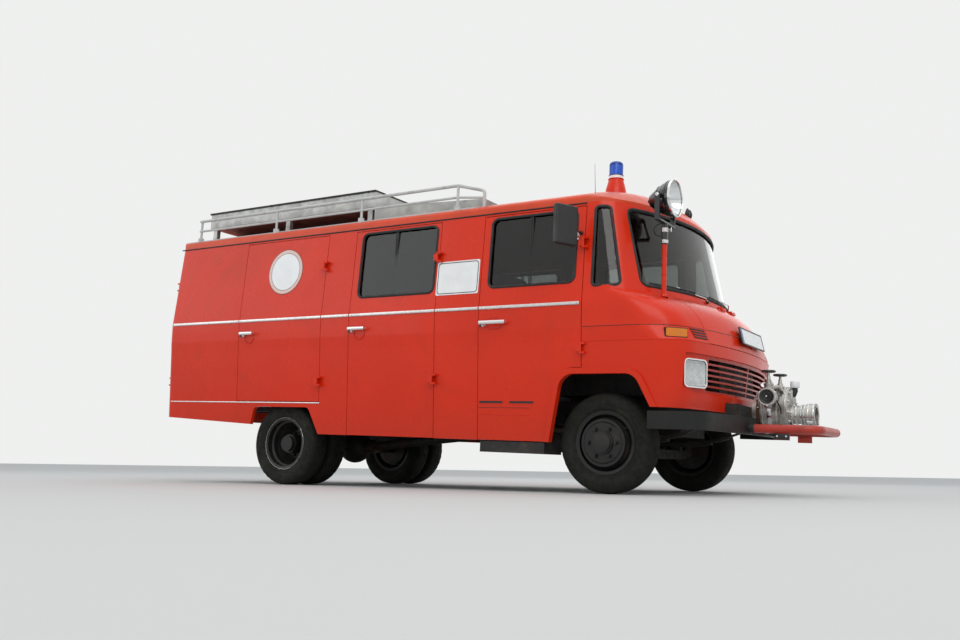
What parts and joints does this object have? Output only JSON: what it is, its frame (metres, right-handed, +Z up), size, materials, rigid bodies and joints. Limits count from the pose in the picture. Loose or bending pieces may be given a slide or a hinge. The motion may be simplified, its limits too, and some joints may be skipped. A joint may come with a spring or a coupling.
{
  "type": "fire engine",
  "caption": "Small fire engine on a van chassis: crew cab with hinged doors, bonnet and steering, front-mounted pump, roof rack with ladder box, blue beacon and a pan-and-tilt searchlight.",
  "frame": {"origin": "on the ground, under the middle of the object's bounding box", "axes": "+X forward, +Y to the vehicle's left, +Z up"},
  "size_m": [5.7277, 2.612, 2.6428],
  "materials": {
    "red_paint": "glossy",
    "black_paint": "satin",
    "frame_paint": "satin",
    "wheel_paint": "satin",
    "alloy": "satin",
    "cast_parts": "cast",
    "cast_iron": "rough",
    "tyre": "matt",
    "black_plastic": "matt",
    "red_plastic": "glossy",
    "seat_fabric": "woven",
    "window_glass": "clear",
    "lamp_glass": "clear",
    "blue_glass": "clear",
    "rubber": "matt",
    "exhaust_steel": "dull"
  },
  "bodies": {
    "body": {"ladder_frame": "frame_paint", "front_axle_beam": "cast_iron", "rear_axle": "cast_iron", "engine_block": "cast_iron", "radiator": "black_paint", "fuel_tank": "black_paint", "exhaust": "exhaust_steel", "floor_pan": "frame_paint", "body_sides": "red_paint", "roof_panel": "red_paint", "cab_front": "red_paint", "grille": "red_paint", "lamps": "lamp_glass", "front_bumper": "black_paint", "cab_glass": "window_glass", "dashboard": "black_plastic", "seats": "seat_fabric", "pump_body": "cast_parts", "pump_handwheels": "red_plastic", "pump_guard": "red_paint", "roof_rack": "alloy", "roof_box": "alloy", "beacon_base": "red_paint", "beacon_lamp": "blue_glass", "searchlight_pole": "red_paint"},
    "knuckle_right": {"knuckle_right": "cast_iron"},
    "front_wheel_right": {"front_rim_right": "wheel_paint", "front_tyre_right": "tyre"},
    "rear_wheels_right": {"rear_rims_right": "wheel_paint", "rear_tyres_right": "tyre"},
    "front_door_right": {"front_door_right": "red_paint", "front_door_glass_right": "window_glass", "mirror_right": "black_plastic"},
    "crew_door_right": {"crew_door_right": "red_paint", "crew_door_glass_right": "window_glass"},
    "locker_door_right": {"locker_door_right": "red_paint"},
    "rear_door_right": {"rear_door_right": "red_paint", "rear_door_glass_right": "window_glass"},
    "knuckle_left": {"knuckle_left": "cast_iron"},
    "front_wheel_left": {"front_rim_left": "wheel_paint", "front_tyre_left": "tyre"},
    "rear_wheels_left": {"rear_rims_left": "wheel_paint", "rear_tyres_left": "tyre"},
    "front_door_left": {"front_door_left": "red_paint", "front_door_glass_left": "window_glass", "mirror_left": "black_plastic"},
    "crew_door_left": {"crew_door_left": "red_paint", "crew_door_glass_left": "window_glass"},
    "locker_door_left": {"locker_door_left": "red_paint"},
    "rear_door_left": {"rear_door_left": "red_paint", "rear_door_glass_left": "window_glass"},
    "bonnet": {"bonnet": "red_paint"},
    "roof_box_lid": {"roof_box_lid": "alloy"},
    "searchlight_turret": {"searchlight_yoke": "black_paint", "searchlight_cable": "rubber"},
    "searchlight_lamp": {"searchlight_head": "black_paint", "searchlight_lens": "lamp_glass"}
  },
  "joints": [
    {"name": "steering_right", "type": "hinge", "parent": "body", "child": "knuckle_right", "pos_m": [1.56, -0.72, 0.345], "axis": [0, 0, 1], "range_deg": [-35, 35]},
    {"name": "front_wheel_spin_right", "type": "hinge", "parent": "knuckle_right", "child": "front_wheel_right", "pos_m": [1.56, -0.811, 0.345], "axis": [0, 1, 0], "continuous": true},
    {"name": "rear_wheel_spin_right", "type": "hinge", "parent": "body", "child": "rear_wheels_right", "pos_m": [-1.39, -0.85, 0.345], "axis": [0, 1, 0], "continuous": true},
    {"name": "front_door_right", "type": "hinge", "parent": "body", "child": "front_door_right", "pos_m": [1.46232, -1.054, 1.20362], "axis": [0.0325, 0, 0.9995], "range_deg": [0, 70]},
    {"name": "crew_door_right", "type": "hinge", "parent": "body", "child": "crew_door_right", "pos_m": [0.22497, -1.054, 1.24381], "axis": [0.0325, 0, 0.9995], "range_deg": [0, 80]},
    {"name": "locker_door_right", "type": "hinge", "parent": "body", "child": "locker_door_right", "pos_m": [-0.92842, -1.054, 1.28126], "axis": [0.0325, 0, 0.9995], "range_deg": [0, 90]},
    {"name": "rear_door_right", "type": "hinge", "parent": "body", "child": "rear_door_right", "pos_m": [-2.82392, -0.9625, 1.34282], "axis": [0.0325, 0, 0.9995], "range_deg": [0, 100]},
    {"name": "steering_left", "type": "hinge", "parent": "body", "child": "knuckle_left", "pos_m": [1.56, 0.72, 0.345], "axis": [0, 0, 1], "range_deg": [-35, 35]},
    {"name": "front_wheel_spin_left", "type": "hinge", "parent": "knuckle_left", "child": "front_wheel_left", "pos_m": [1.56, 0.811, 0.345], "axis": [0, 1, 0], "continuous": true},
    {"name": "rear_wheel_spin_left", "type": "hinge", "parent": "body", "child": "rear_wheels_left", "pos_m": [-1.39, 0.85, 0.345], "axis": [0, 1, 0], "continuous": true},
    {"name": "front_door_left", "type": "hinge", "parent": "body", "child": "front_door_left", "pos_m": [1.46232, 1.054, 1.20362], "axis": [-0.0325, 0, -0.9995], "range_deg": [0, 70]},
    {"name": "crew_door_left", "type": "hinge", "parent": "body", "child": "crew_door_left", "pos_m": [0.22497, 1.054, 1.24381], "axis": [-0.0325, 0, -0.9995], "range_deg": [0, 80]},
    {"name": "locker_door_left", "type": "hinge", "parent": "body", "child": "locker_door_left", "pos_m": [-0.92842, 1.054, 1.28126], "axis": [-0.0325, 0, -0.9995], "range_deg": [0, 90]},
    {"name": "rear_door_left", "type": "hinge", "parent": "body", "child": "rear_door_left", "pos_m": [-2.82392, 0.9625, 1.34282], "axis": [-0.0325, 0, -0.9995], "range_deg": [0, 100]},
    {"name": "bonnet", "type": "hinge", "parent": "body", "child": "bonnet", "pos_m": [2.15341, 0, 1.33376], "axis": [0, -1, 0], "range_deg": [0, 55]},
    {"name": "roof_box_lid", "type": "hinge", "parent": "body", "child": "roof_box_lid", "pos_m": [-1.5821, -0.338, 2.48811], "axis": [-0.9995, 0, 0.0325], "range_deg": [0, 95]},
    {"name": "searchlight_pan", "type": "hinge", "parent": "body", "child": "searchlight_turret", "pos_m": [1.97308, -0.79, 1.72732], "axis": [0.0325, 0, 0.9995], "range_deg": [-150, 150]},
    {"name": "searchlight_tilt", "type": "hinge", "parent": "searchlight_turret", "child": "searchlight_lamp", "pos_m": [1.98263, -0.79, 2.02117], "axis": [0, 1, 0], "range_deg": [-60, 35]}
  ],
  "couplings": [
    {"joint": "steering_left", "follows": "steering_right", "ratio": 1}
  ]
}
